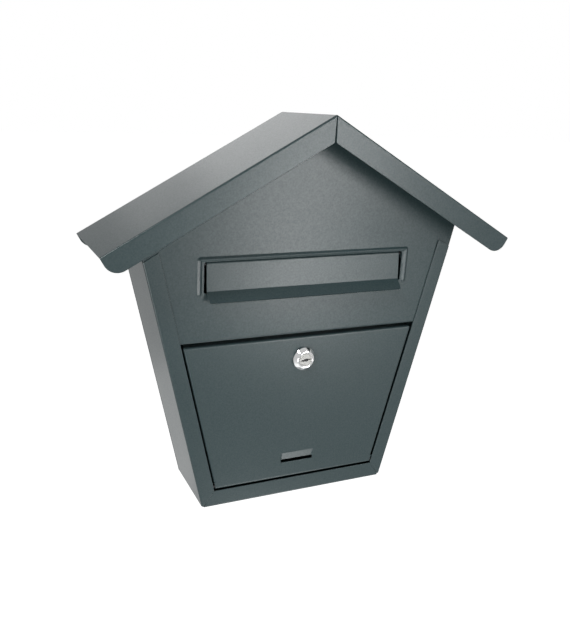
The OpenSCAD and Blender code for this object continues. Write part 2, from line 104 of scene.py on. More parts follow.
class SheetSizes(bpy.types.PropertyGroup):
    """Sizes of the folded sheet that the body, the roof and the front panel are made of."""
    thickness: length("Sheet", "Thickness of the steel sheet", 0.001)
    bend: length("Bend", "Outer radius of a fold", 0.0016)
    edge: length("Edge", "Rounding of a coated cut edge", 0.00022)
    play: length("Play", "Gap between sheets that pass each other", 0.0003)
    lean: angle("Lean", "Outward lean of the side walls", 13.2)
    base: length("Base", "Half of the width of the body at its underside", 0.1)
    corner: length("Corner", "Outer radius of the body's lower corners", 0.0025)
    rim_side: length("Rim side", "Width of the front rim beside the door", 0.016)
    rim_foot: length("Rim foot", "Height of the front rim below the door", 0.0165)
    rim_drop: length("Rim drop", "Distance of the front rims' tops below the roof's top", 0.0324)
    back_rim: length("Back rim", "Width of the rim behind", 0.012)
    seam: length("Seam", "Width of the closed mitre seams", 0.00008)
    seat: length("Seat", "Width of the flanges that carry the roof", 0.016)
    seat_gap: length("Seat gap", "Gap between the roof and what carries it", 0.0001)
    pitch: angle("Pitch", "Pitch of the roof", 29.1)
    roof_bend: length("Roof bend", "Outer radius of the fold between slope and fascia", 0.0014)
    ridge_bend: length("Ridge bend", "Outer radius of the fold along the ridge", 0.0016)
    fascia: length("Fascia", "Depth of the roof's turned-down edges", 0.0197)
    fascia_corner: length("Fascia corner", "Radius of the fascia's lower corner", 0.0125)
    slit_top: length("Slit top", "Width of the slit at the ridge", 0.0006)
    slit_foot: length("Slit foot", "Width of the slit at the fascia's foot", 0.0015)
    panel_foot: length("Panel foot", "Height of the front panel's ledge above the underside", 0.1698)
    slot_half: length("Slot", "Half of the width of the letter slot", 0.1025)
    slot_foot: length("Slot foot", "Height of the slot above the underside", 0.2158)
    slot_height: length("Slot height", "Height of the letter slot", 0.0287)
    slot_corner: length("Slot corner", "Radius of the slot's corners", 0.002)
    bead_offset: length("Bead offset", "From the slot to the middle of the bead", 0.0042)
    bead_head: length("Bead head", "From the top of the slot to the middle of the bead", 0.0025)
    bead_half: length("Bead half", "Half of the width of the pressed bead", 0.0023)
    bead_rise: length("Bead rise", "Height of the pressed bead", 0.0017)
    bead_corner: length("Bead corner", "Radius of the bead's corners", 0.0012)


class DoorSizes(bpy.types.PropertyGroup):
    """Sizes of the door, the letter flap and the lock."""
    fold: length("Fold", "Depth of the door's folded edges", 0.015)
    inset: length("Inset", "From a side wall to the door's edge", 0.018)
    roll: length("Roll", "Outer radius of the sheet rolled round a hinge rod", 0.00255)
    louvre_half: length("Louvre", "Half of the width of the sight louvre", 0.0175)
    louvre_foot: length("Louvre foot", "Height of the louvre above the underside", 0.0348)
    louvre_height: length("Louvre height", "Height of the louvre", 0.0104)
    louvre_depth: length("Louvre depth", "Depth to which the louvre is pressed in", 0.0016)
    louvre_gap: length("Louvre gap", "Rise of the louvre's lip over its lower edge", 0.0025)
    louvre_cheek: length("Louvre cheek", "Width of the louvre's sloping ends", 0.0022)
    flap_side: length("Flap side", "Gap at each side of the flap", 0.0025)
    flap_set: length("Flap set", "Distance of the flap's top behind the rim", 0.0025)
    flap_head: length("Flap head", "Gap above the flap's rolled top", 0.00015)
    flap_tilt: angle("Flap tilt", "Outward tilt of the closed flap", 4.7)
    fold_rise: length("Fold rise", "Height of the lip's fold above the slot's foot", 0.0015)
    lip_length: length("Lip length", "Length of the finger lip", 0.012)
    lip_bend: angle("Lip bend", "Bend between the flap and its lip", 37.5)
    lip_radius: length("Lip radius", "Radius of the bend between the flap and its lip", 0.0012)
    lip_inset: length("Lip inset", "Set-back of the ends of the lip", 0.0003)
    lip_corner: length("Lip corner", "Radius of the lip's corners", 0.0022)
    lock_height: length("Lock height", "Height of the lock above the underside", 0.1448)
    lock_hole: length("Lock hole", "Radius of the hole for the lock's barrel", 0.0081)


class FinishColours(bpy.types.PropertyGroup):
    """Colours of the coat, the metals and the rubber."""
    coat: colour("Powder coat", "Colour of the powder coat", (0.024, 0.040, 0.0425))
    zinc: colour("Zinc", "Colour of the zinc plated steel", (0.50, 0.51, 0.52))
    # Painted shade: the hinge rods and the plate behind the keyhole take this dark colour to stand in for the
    # shade inside the box and the lock.
    steel: colour("Dark steel", "Colour of the hinge rods and the lock's shutter", (0.05, 0.05, 0.052))
    chrome: colour("Chrome", "Colour of the lock's chromed bezel", (0.86, 0.87, 0.87))
    nickel: colour("Nickel", "Colour of the satin face of the lock's plug", (0.30, 0.30, 0.29))
    brass: colour("Brass", "Colour of the lock's wafers", (0.62, 0.42, 0.14))
    rubber: colour("Rubber", "Colour of the door buffers", (0.016, 0.016, 0.017))


class StageSettings(bpy.types.PropertyGroup):
    """Camera, lamps, floor and world."""
    eye: FloatVectorProperty(name="Eye", description="Place of the camera",
                             default=(-0.3004, -0.6311, 0.2192), size=3, unit="LENGTH")
    yaw: angle("Yaw", "Turn of the camera to the right", 22.25)
    dip: angle("Dip", "Downward tilt of the camera", 16.23)
    roll: angle("Roll", "Roll of the camera", 1.93)
    lens: FloatProperty(name="Lens", description="Focal length for a 36 mm frame height",
                        default=39.60, subtype="DISTANCE_CAMERA")
    shift: FloatVectorProperty(name="Shift", description="Shift of the lens across and up",
                               default=(0.08, -0.0175), size=2)
    floor: colour("Floor", "Colour of the floor", (0.86, 0.86, 0.86))
    floor_glow: factor("Floor glow", "Glow of the floor where it is seen", 0.92)
    floor_drop: FloatProperty(name="Floor drop", description="Height of the box above the floor",
                              default=1.1, unit="LENGTH")
    key_power: power("Key", "Power of the upright strip lamp in front", 7.3)
    high_power: power("High key", "Power of the strip lamp above the first", 4.9)
    rear_power: power("Rear", "Power of the middle one of the three lamps behind", 0.88)
    low_power: power("Low", "Power of the low lamp behind the left wall", 0.075)
    side_power: power("Side", "Power of the front one of the two lamps to the left", 6.0)
    edge_power: power("Edge", "Power of the lamp above on the left", 17.0)
    table_power: power("Table", "Power of the small lamp below in front", 0.7)
    world: factor("World", "Strength of the soft light all round", 0.1)
    mirror_share: factor("Mirror share", "Share of white that glossy rays see", 0.55)


SETTINGS = {
    "mailbox_sheet": SheetSizes,
    "mailbox_door": DoorSizes,
    "mailbox_colours": FinishColours,
    "mailbox_stage": StageSettings,
}


# ---------- Grids ----------

def vectors(x, y, z):
    """Vectors from their three parts, each of them a number, a row, a column or a whole grid."""
    return np.stack(np.broadcast_arrays(x, y, z), -1)


def joined(*stretches):
    """One array for each quantity along a line that is made of stretches. In a stretch, a quantity
    is an array with a value for each point, or one number for all of them."""
    return np.hstack([np.stack(np.broadcast_arrays(*stretch)) for stretch in stretches])


def every_cell(points):
    """A mask that keeps each cell of a grid of points."""
    rows, cols = points.shape[:2]
    return np.ones((rows - 1, cols - 1), bool)


def both_halves(outer, normal, keep):
    """A right half with its mirror image before it. Its first column lies on the middle, and isn't
    repeated."""
    outer = np.hstack([(outer * MIRROR)[:, :0:-1], outer])
    normal = np.hstack([(normal * MIRROR)[:, :0:-1], normal])
    return outer, normal, np.hstack([keep[:, ::-1], keep])


def dense_round(places, reach, step, low, high):
    """Sorted values from low to high, close together within a reach of each place, and rounded to a
    thousandth of a millimetre."""
    offsets = np.arange(-reach, reach + step / 2, step)
    values = (np.asarray(places)[:, None] + offsets).ravel()
    values = values[(values > low) & (values < high)]
    return np.unique(np.round(np.r_[low, high, values], 6))


def folded_line(corners, radii):
    """An open line through corners in a plane, with its inner corners rounded. A turn to either side
    keeps the outer face on the left of the line: outside a left turn's arc, inside a right turn's.
    Returns the points and their left-hand normals; each bend has a spare point close before and
    after it."""
    corners = np.asarray(corners, float)
    way = np.diff(corners, axis=0)
    way /= np.linalg.norm(way, axis=1, keepdims=True)
    left = np.stack([-way[:, 1], way[:, 0]], -1)
    points, normals = [corners[:1]], [left[:1]]
    for corner, before, after, side, radius in zip(corners[1:-1], way, way[1:], left, radii):
        turn = math.atan2(before[0] * after[1] - before[1] * after[0], before @ after)
        bulge = -math.copysign(radius, turn)
        start = corner - before * (radius * math.tan(abs(turn) / 2))
        angles = np.linspace(0, turn, len(FOLD))[:, None]
        normal = side * np.cos(angles) + np.array([-side[1], side[0]]) * np.sin(angles)
        arc = start - bulge * side + bulge * normal
        points += [start[None] - before * EASE, arc, arc[-1:] + after * EASE]
        normals += [side[None], normal, normal[-1:]]
    points.append(corners[-1:])
    normals.append(left[-1:])
    return np.concatenate(points), np.concatenate(normals)


# ---------- Meshes ----------

def link_object(name, mesh, material):
    """An object at the origin with one material."""
    mesh.materials.append(material)
    piece = bpy.data.objects.new(name, mesh)
    bpy.context.scene.collection.objects.link(piece)
    return piece


def make_object(name, points, faces, material):
    """A smooth shaded object from rows of points and of corner numbers."""
    mesh = bpy.data.meshes.new(name)
    mesh.from_pydata(points.tolist(), [], faces.tolist())
    merged = bmesh.new()
    merged.from_mesh(mesh)
    bmesh.ops.remove_doubles(merged, verts=merged.verts, dist=MERGE)
    bmesh.ops.dissolve_degenerate(merged, edges=merged.edges, dist=MERGE)
    merged.to_mesh(mesh)
    merged.free()
    mesh.shade_smooth()
    return link_object(name, mesh, material)


def point_outwards(piece):
    """Turns the faces of a closed piece outwards."""
    turned = bmesh.new()
    turned.from_mesh(piece.data)
    bmesh.ops.recalc_face_normals(turned, faces=turned.faces)
    turned.to_mesh(piece.data)
    turned.free()
    return piece


def sheet_object(name, outer, normal, keep, sheet, material):
    """A closed folded sheet. Its outer face is the grid of points, its inner face is each point moved
    against its normal by the thickness, and a wall joins the two along each side of a kept cell that
    has no kept cell beyond it. All faces are turned round if their sum faces inwards."""
    rows, cols = outer.shape[:2]
    inward = -sheet.thickness * normal
    index = np.arange(rows * cols).reshape(rows, cols)
    a, b, c, d = index[:-1, :-1], index[1:, :-1], index[1:, 1:], index[:-1, 1:]
    cells = np.stack([a, b, c, d], -1)[keep]
    low, beside, beyond = outer[:-1, :-1], outer[1:, :-1], outer[:-1, 1:]
    facing = np.sum(np.cross(beside - low, beyond - low) * inward[:-1, :-1] * keep[..., None])
    framed = np.pad(keep, 1)
    sides = ((a, b, framed[1:-1, :-2]), (b, c, framed[2:, 1:-1]),
             (c, d, framed[1:-1, 2:]), (d, a, framed[:-2, 1:-1]))
    under = rows * cols
    walls = [np.stack([q, p, p + under, q + under], -1)[keep & ~other] for p, q, other in sides]
    faces = np.concatenate([cells, cells[:, ::-1] + under] + walls)
    if facing > 0:
        faces = faces[:, ::-1]
    points = np.concatenate([outer.reshape(-1, 3), (outer + inward).reshape(-1, 3)])
    used, faces = np.unique(faces, return_inverse=True)
    return make_object(name, points[used], faces.reshape(-1, 4), material)


def lathe_object(name, profile, centre, material, turns=96):
    """A closed body of revolution round an axis along Y: each profile point has a radius and a place
    along Y, and every turn repeats the profile. The ends of the profile lie on the axis or meet."""
    around = np.linspace(0, 2 * math.pi, turns, endpoint=False)
    radius, along = np.asarray(profile, float).T[..., None]
    points = vectors(radius * np.cos(around), along, radius * np.sin(around)) + np.asarray(centre)
    index = np.arange(points.shape[0] * turns).reshape(-1, turns)
    after = np.roll(index, -1, axis=1)
    faces = np.stack([index[:-1], index[1:], after[1:], after[:-1]], -1).reshape(-1, 4)
    return point_outwards(make_object(name, points.reshape(-1, 3), faces, material))


def prism_object(name, outline, low, high, centre, material):
    """A closed prism along Y: an outline of X and Z repeated at two places along Y and joined."""
    count = len(outline)
    points = vectors(np.tile(outline[:, 0], 2), np.repeat([low, high], count), np.tile(outline[:, 1], 2))
    index = np.arange(count)
    after = np.roll(index, -1)
    sides = np.stack([index, after, after + count, index + count], -1).tolist()
    mesh = bpy.data.meshes.new(name)
    mesh.from_pydata((points + np.asarray(centre)).tolist(), [],
                     sides + [index[::-1].tolist(), (index + count).tolist()])
    return point_outwards(link_object(name, mesh, material))


def cut_away(piece, cutter):
    """Takes a closed cutter out of a piece for good."""
    carve = piece.modifiers.new("cut", "BOOLEAN")
    carve.object = cutter
    carve.solver = "EXACT"
    graph = bpy.context.evaluated_depsgraph_get()
    carved = bpy.data.meshes.new_from_object(piece.evaluated_get(graph))
    piece.modifiers.clear()
    piece.data = carved
    bpy.data.objects.remove(cutter)


def soften(piece, width, flatten=True):
    """Rounds the edges of a piece that turn by more than 50 degrees and, where asked, keeps its flat
    faces flat in shading."""
    bevel = piece.modifiers.new("rounded edges", "BEVEL")
    bevel.width = width
    bevel.segments = 2
    bevel.limit_method = "ANGLE"
    bevel.angle_limit = math.radians(50)
    bevel.use_clamp_overlap = False
    if flatten:
        normals = piece.modifiers.new("flat faces", "WEIGHTED_NORMAL")
        normals.weight = 60
    return piece


# ---------- Shape of the box ----------

def half_width(height, sheet):
    """Half of the body's width at a height above its underside."""
    return sheet.base + height * math.tan(sheet.lean)


def below_roof(depth, sheet):
    """Height above the underside at which a slope sunk square by a depth meets the middle."""
    return RIDGE - FOOT - depth / math.cos(sheet.pitch)


def roof_shell(sheet, material):
    """Roof: one sheet folded along the ridge, with a turned-down edge in front and behind.
    Across, a point runs down the slope from the ridge's bend to the eave; along, it runs up the
    front edge, round a bend of 90 degrees, back over the slope and down the rear edge. Each turned
    edge starts at the upright slit under the ridge and ends in a round lower corner, so both of its
    ends move with the depth below the slope."""
    sin, cos = math.sin(sheet.pitch), math.cos(sheet.pitch)
    bend, front, rear = sheet.roof_bend, ROOF_LOW.y, ROOF_HIGH.y
    round_start = sheet.fascia - sheet.fascia_corner
    spare = 0.0005
    rounded = round_start + sheet.fascia_corner * np.sin(np.linspace(QUARTER, 0, 13))
    fold = FOLD[::-1]
    depth, set_back, turned = joined(
        (np.r_[rounded, round_start / 2, bend + spare], 0, QUARTER),
        (bend * (1 - np.cos(fold)), bend * (1 - np.sin(fold)), fold))
    inner = front + bend + (rear - front - 2 * bend) * np.linspace(0.02, 0.98, 6)
    row_depth, row_y, row_turn = joined(
        (depth, front + set_back, -turned), (0, inner, 0),
        (depth[::-1], rear - set_back[::-1], turned[::-1]))

    slit = (sheet.slit_top + (sheet.slit_foot - sheet.slit_top) * row_depth / sheet.fascia) / 2
    start = np.maximum(sheet.ridge_bend * math.tan(sheet.pitch), (slit + row_depth * sin) / cos)
    past = np.clip(row_depth - round_start, 0, sheet.fascia_corner)
    end = EAVE / cos - sheet.fascia_corner + np.sqrt(sheet.fascia_corner ** 2 - past ** 2)
    share = np.r_[0, 0.0025, np.linspace(0.03, 0.97, 9), 0.9975, 1]
    along = start[:, None] + share * (end - start)[:, None]
    y, sunk, turn = row_y[:, None], row_depth[:, None], row_turn[:, None]
    slope = vectors(along * cos - sunk * sin, y, RIDGE - along * sin - sunk * cos)
    slope_normal = vectors(np.cos(turn) * sin + 0 * along, np.sin(turn), np.cos(turn) * cos)

    tilt = np.linspace(-sheet.pitch, sheet.pitch, 7)[1:-1]
    crest = vectors(sheet.ridge_bend * np.sin(tilt), y,
                    RIDGE - sheet.ridge_bend / cos + sheet.ridge_bend * np.cos(tilt))
    crest_normal = vectors(np.sin(tilt), np.sin(turn), np.cos(tilt))
    outer = np.hstack([(slope * MIRROR)[:, ::-1], crest, slope])
    normal = np.hstack([(slope_normal * MIRROR)[:, ::-1], crest_normal, slope_normal])

    on_top = np.isclose(row_depth, 0)
    keep = every_cell(outer)
    keep[:, len(share) - 1:len(share) + len(tilt)] = (on_top[:-1] & on_top[1:])[:, None]
    return soften(sheet_object("roof_shell", outer, normal, keep, sheet, material), sheet.edge)


def body_shell(sheet, material):
    """Body: one sheet wrapped round both sides and the bottom, with rims folded in at the front and
    the rear. Across, a point runs along the bottom, round the lower corner, up the leaning wall and,
    past a bend, in along the flange that carries the roof. Along the other way it runs from the
    front rim's inner edge over a bend, the wall and a bend to the rear rim's inner edge. The rims
    meet in mitre seams at the lower corners, the roof's plane cuts the tops of the walls, and planes
    below it cut the tops of the rims."""
    bend, lean, pitch = sheet.bend, sheet.lean, sheet.pitch
    up = np.array([math.sin(lean), math.cos(lean)])
    out = np.array([math.cos(lean), -math.sin(lean)])
    wall_tops = below_roof(sheet.thickness + sheet.seat_gap, sheet)
    notch_tops = below_roof(sheet.fascia + sheet.play, sheet)
    rim_tops = below_roof(sheet.rim_drop, sheet)

    def reach_up(depth, tops):
        """How far up the wall line, set in by a depth, a plane below the roof cuts it."""
        foot_x = sheet.base - depth * math.cos(lean)
        rise = math.cos(lean) + math.sin(lean) * math.tan(pitch)
        return (tops - depth * math.sin(lean) - foot_x * math.tan(pitch)) / rise

    def rim(face, sign, width, height):
        """Rows from a rim's fold to its inner edge: their Y and turn, the depths of the side piece
        and of the foot piece, and the slopes of the mitre between the two."""
        inner = np.array([half_width(height, sheet) - width, height])
        away = inner - np.array([sheet.base, 0])
        side_depth = -away @ out
        share = np.array([0.03, 0.3, 0.6, 1])
        folded, share = joined((FOLD, 0), (QUARTER, share))
        folded_in = bend * (1 - np.cos(folded))
        rows = (face - sign * bend * (1 - np.sin(folded)), sign * folded,
                folded_in + share * (side_depth - bend), folded_in + share * (height - bend),
                (away @ up) / side_depth, -away[0] / height)
        return np.stack(np.broadcast_arrays(*rows))

    front = rim(FRONT, -1, sheet.rim_side, sheet.rim_foot)
    rear = rim(BACK_LOW.y, 1, sheet.back_rim, sheet.back_rim)
    flange_front, flange_rear = FRONT + 2 * sheet.thickness + sheet.play, rear[0, 0]
    wall_y = flange_front + (flange_rear - flange_front) * np.r_[0, np.linspace(0.1, 0.9, 4)]
    row_y, row_turn, side_depth, foot_depth, side_mitre, foot_mitre = joined(
        front[:, ::-1], (wall_y, 0, 0, 0, 0, 0), rear)
    row = np.arange(len(row_y))
    wall_row = front.shape[1]
    rear_row = wall_row + len(wall_y)
    is_wall = (row >= wall_row) & (row <= rear_row)
    is_rear = row >= rear_row

    corner_turn, top_turn = QUARTER - lean, QUARTER + lean - pitch
    corner_reach, top_reach = sheet.corner * math.tan(corner_turn / 2), bend * math.tan(top_turn / 2)
    wall_start = np.maximum(corner_reach, side_depth * side_mitre + sheet.seam)
    foot_end = np.minimum(sheet.base - corner_reach, sheet.base - foot_depth * foot_mitre - sheet.seam)
    full = reach_up(0, wall_tops) - top_reach
    notch = (reach_up(0, notch_tops) - corner_reach) / (full - corner_reach)
    wall_end = np.where(is_wall, full, reach_up(side_depth, rim_tops))
    wall_share = np.r_[0, 0.004, np.linspace(0.1, 0.8, 6) * notch, 0.996 * notch, notch, 0.996, 1]
    along = wall_start[:, None] + wall_share * (wall_end - wall_start)[:, None]
    rear_end = reach_up(side_depth, notch_tops)
    rear_along = wall_start[:, None] + wall_share / notch * (rear_end - wall_start)[:, None]
    along = np.where((is_rear & ~is_wall)[:, None], rear_along, along)

    foot_share = np.r_[np.linspace(0, 0.97, 5), 0.996, 1]
    foot_x = foot_share * foot_end[:, None]
    foot = np.stack(np.broadcast_arrays(foot_x, foot_depth[:, None]), -1)
    arc = np.linspace(0, corner_turn, 7)[1:-1]
    arc_normal = np.stack([np.sin(arc), -np.cos(arc)], -1)
    corner = np.array([sheet.base - corner_reach, sheet.corner]) + sheet.corner * arc_normal
    wall = np.array([sheet.base, 0]) + along[..., None] * up - side_depth[:, None, None] * out
    top_arc = np.linspace(0, top_turn, 7)[1:, None]
    top_normal = out * np.cos(top_arc) + up * np.sin(top_arc)
    top = np.array([sheet.base, 0]) + up * full - bend * out + bend * top_normal
    flange = np.array([[0.001], [0.5], [1]]) * (sheet.seat / math.cos(pitch) - top_reach)
    seat = np.vstack([top, top[-1] + flange * np.array([-math.cos(pitch), math.sin(pitch)])])
    seat_normal = np.vstack([top_normal, np.tile(top_normal[-1], (len(flange), 1))])

    copies = (len(row_y), 1, 1)
    flat = np.hstack([foot, np.tile(corner, copies), wall, np.tile(seat, copies)])
    flat_normal = np.vstack([np.tile([0, -1], (len(foot_share), 1)), arc_normal,
                             np.tile(out, (len(wall_share), 1)), seat_normal])
    turn = row_turn[:, None]
    outer = vectors(flat[..., 0], row_y[:, None], flat[..., 1] + FOOT)
    normal = vectors(np.cos(turn) * flat_normal[:, 0], np.sin(turn), np.cos(turn) * flat_normal[:, 1])

    keep = every_cell(outer)
    wall_cells = (is_wall[:-1] & is_wall[1:])[:, None]
    wall_col = len(foot_share) + len(arc)
    keep[:, len(foot_share) - 1:wall_col] = wall_cells
    keep[:, wall_col + len(wall_share) - 1:] = wall_cells
    keep[rear_row:, wall_col + np.searchsorted(wall_share, notch):] = False
    outer, normal, keep = both_halves(outer, normal, keep)
    return soften(sheet_object("body_shell", outer, normal, keep, sheet, material), sheet.edge)


def bead_height(x, height, sheet):
    """Height of the pressed bead: a ridge whose height falls evenly with the distance to a line that
    runs up beside the slot, round a corner, across above it and down again, with a rounded crest and
    foot. The distance is that to a rounded box, and below the foot of the line to the line's end."""
    crest_round, foot_round = 0.0003, 0.004
    middle = sheet.slot_half + sheet.bead_offset
    head = sheet.slot_foot + sheet.slot_height + sheet.bead_head
    across = np.abs(x) - (middle - sheet.bead_corner)
    over = np.maximum(height, sheet.slot_foot) - (head - sheet.bead_corner)
    outside = np.hypot(np.maximum(across, 0), np.maximum(over, 0))
    away = np.abs(outside + np.minimum(np.maximum(across, over), 0) - sheet.bead_corner)
    away = np.hypot(away, np.maximum(sheet.slot_foot - height, 0))
    crown = 1 - np.hypot(away, crest_round) / sheet.bead_half
    return sheet.bead_rise * (crown + np.sqrt(crown ** 2 + foot_round)) / 2


def slot_cutter(sheet, low, high, material):
    """Cutter of the letter slot: a prism whose outline runs round each corner on an arc."""
    arcs = QUARTER * np.arange(4)[:, None] + np.linspace(0, QUARTER, 7)
    half = np.array([sheet.slot_half, sheet.slot_height / 2]) - sheet.slot_corner
    centres = np.array([[1, 1], [-1, 1], [-1, -1], [1, -1]]) * half
    outline = centres[:, None] + sheet.slot_corner * np.stack([np.cos(arcs), np.sin(arcs)], -1)
    middle = (0, 0, sheet.slot_foot + sheet.slot_height / 2 + FOOT)
    return prism_object("slot", outline.reshape(-1, 2), low, high, middle, material)


def front_panel_shell(sheet, material):
    """Front panel: a gabled sheet with a letter slot and a bead pressed out round it, whose foot is
    folded back into a ledge and down into a lip. Down the panel, a point runs from the gable's top
    to the foot, round a bend, back along the ledge, round the opposite bend and down the lip. Across
    it keeps its place near the slot and spreads to the panel's slanting edges further out; above
    the slot all places shrink evenly towards the gable's top."""
    foot, face = sheet.panel_foot, FRONT + sheet.thickness
    lip_y, lip_foot = PANEL_HIGH.y - sheet.thickness, PANEL_LOW.z - FOOT
    middle = sheet.slot_half + sheet.bead_offset
    bead_top = sheet.slot_foot + sheet.slot_height + sheet.bead_head
    fixed_half = middle + 2 * sheet.bead_half
    shrink_from = bead_top + 3 * sheet.bead_half
    tops = below_roof(sheet.thickness + sheet.seat_gap, sheet)
    side_in = (sheet.thickness + sheet.seat_gap) / math.cos(sheet.lean)
    around_bead = 1.5 * sheet.bead_half, sheet.bead_half / 8

    line, turn = folded_line([(face, shrink_from), (face, foot), (lip_y, foot), (lip_y, lip_foot)],
                             (sheet.bend, sheet.bend - sheet.thickness))
    fold_start = foot + sheet.bend + EASE
    past = line[:, 1] < fold_start - SLACK
    heights = dense_round([sheet.slot_foot, bead_top, bead_top - sheet.bead_corner], *around_bead,
                          fold_start, shrink_from)
    plain_heights, plain_half = (0.19, 0.225, 0.235), 0.095
    heights = np.unique(np.r_[heights, plain_heights])
    shoulder = (tops - (sheet.base - side_in) * math.tan(sheet.pitch)) / (
        1 + math.tan(sheet.lean) * math.tan(sheet.pitch))
    above = np.r_[np.linspace(shrink_from, shoulder, 4)[1:], np.linspace(shoulder, tops * (1 - SLACK), 6)[1:]]
    (folded_y, folded_h), (folded_ny, folded_nz) = line[past].T, -turn[past].T
    row_h, row_y, normal_y, normal_z = joined(
        (np.r_[heights, above][::-1], face, -1, 0), (folded_h, folded_y, folded_ny, folded_nz))

    edge = np.minimum(half_width(row_h, sheet) - side_in, (tops - row_h) / math.tan(sheet.pitch))
    ledge_half = half_width(lip_foot, sheet) - side_in - sheet.play
    edge = np.where(row_h < foot + SLACK, np.minimum(edge, ledge_half), edge)[:, None]
    columns = dense_round([middle, middle - sheet.bead_corner], *around_bead, 0.0, fixed_half)
    columns = np.unique(np.r_[columns, np.linspace(0, plain_half, 5)])
    spread = np.linspace(0, 1, 4)[1:]
    near = np.hstack([np.tile(columns, (len(row_h), 1)), fixed_half + spread * (edge - fixed_half)])
    start_edge = half_width(shrink_from, sheet) - side_in
    far = np.r_[columns, fixed_half + spread * (start_edge - fixed_half)] / start_edge * edge
    x = np.where(row_h[:, None] > shrink_from + SLACK, far, near)
    x = np.hstack([-x[:, :0:-1], x])
    height = row_h[:, None] + 0 * x
    rise = np.where(height >= fold_start, bead_height(x, height, sheet), 0)
    outer = vectors(x, row_y[:, None] - rise, height + FOOT)
    normal = vectors(0 * x, normal_y[:, None], normal_z[:, None])

    panel = sheet_object("front_panel_shell", outer, normal, every_cell(outer), sheet, material)
    past_sheet = 3 * sheet.thickness
    cut_away(panel, slot_cutter(sheet, face - past_sheet, face + past_sheet, material))
    return soften(panel, sheet.edge)


def door_shell(sheet, door, material):
    """Door: a shallow tray with its top and sides folded back and its foot rolled round the hinge rod.
    Down the door, a point runs forward along the top fold, round a bend, down the face and round the
    roll; across, it runs over the face, round a bend and back along a side fold. Where both bends
    meet, the directions of the two are added and made unit length, which rounds the corner. The
    louvre is pressed in: its depth grows evenly downwards to the lip and falls off smoothly
    at both ends."""
    bend = sheet.bend
    top = DOOR_HIGH.z - FOOT - bend
    roll_h = DOOR_LOW.z - FOOT + door.roll
    fold_foot = roll_h + 2 * door.roll
    louvre_top = door.louvre_foot + door.louvre_height
    lip_h = door.louvre_foot + door.louvre_gap
    deep = (door.fold - bend) * np.array([0.04, 0.3, 0.6, 0.96, 1])
    between, close, below = 0.004, 0.0005, 0.0038
    face = np.r_[
        top - EASE, np.linspace(top - between, louvre_top + between, 9),
        louvre_top + close * np.array([1, 0, -1]), np.linspace(louvre_top, lip_h, 5)[1:],
        door.louvre_foot, door.louvre_foot - below, fold_foot + 0.0003, fold_foot, roll_h + 0.001]
    rolled = np.linspace(0, 3 * QUARTER, 25)
    row_h, row_back, row_tip, row_radius = joined(
        (top, deep[::-1], QUARTER, bend), (top, 0, FOLD[::-1], bend), (face, 0, 0, bend),
        (roll_h, 0, -rolled, door.roll))
    flat = (row_h < fold_foot + SLACK)[:, None]
    height, back, tip, radius = (part[:, None] for part in (row_h, row_back, row_tip, row_radius))

    cheek = door.louvre_half + door.louvre_cheek / 2
    level = cheek - door.louvre_cheek
    level_cells, cheek_cells = 2, 8
    near = np.r_[np.linspace(0, level, level_cells + 1),
                 np.linspace(level, cheek, cheek_cells + 1)[1:], cheek + EASE]
    edge = half_width(height, sheet) - door.inset
    last = edge - bend / math.cos(sheet.lean)
    spread = np.r_[np.linspace(0, 0.97, 5)[1:], 0.994, 1]
    face_x = np.hstack([np.tile(near, (len(row_h), 1)), near[-1] + spread * (last - near[-1])])
    theta, col_back = joined((0 * face_x[0], 0), (FOLD[1:], 0), (QUARTER, deep))
    beyond = np.r_[FOLD[1:] / QUARTER, 1 + 0 * deep]
    base_x = np.hstack([face_x, np.where(flat, last + beyond * (edge - last), last)])
    theta = np.where(flat, 0, theta)
    col_back = np.where(flat, 0, col_back)

    way = vectors(np.sin(theta) * math.cos(sheet.lean), -np.cos(theta) * np.cos(tip),
                  np.sin(tip) - np.sin(theta) * math.sin(sheet.lean))
    normal = way / np.linalg.norm(way, axis=-1, keepdims=True)
    outer = vectors(base_x, FRONT + radius + back + col_back, height + FOOT) + radius[..., None] * normal
    sunk = np.where(height > lip_h, (louvre_top - height) / (louvre_top - lip_h),
                    (height - door.louvre_foot) / door.louvre_gap)
    fall = np.clip((cheek - np.abs(base_x)) / door.louvre_cheek, 0, 1)
    pressed = door.louvre_depth * np.clip(sunk, 0, 1) * fall * fall * (3 - 2 * fall)
    outer[..., 1] += np.where((tip == 0) & (radius == bend), pressed, 0)

    keep = every_cell(outer)
    bend_col = face_x.shape[1] - 1
    fold_col = bend_col + len(FOLD) - 1
    keep[:len(deep) + 1, fold_col:] = False
    keep[flat[1:, 0], fold_col:] = False
    keep[flat[1:, 0] & ~flat[:-1, 0], bend_col:] = False
    gap_rows = (row_h[1:] < lip_h - SLACK) & (row_h[:-1] > door.louvre_foot + SLACK)
    keep[gap_rows, :level_cells + cheek_cells // 2] = False
    outer, normal, keep = both_halves(outer, normal, keep)
    panel = sheet_object("door_shell", outer, normal, keep, sheet, material)
    reach = 10 * sheet.thickness
    hole = [(0, -reach), (door.lock_hole, -reach), (door.lock_hole, reach), (0, reach)]
    cut_away(panel, lathe_object("lock_hole", hole, (0, FRONT, door.lock_height + FOOT), material, turns=94))
    return soften(panel, sheet.edge)


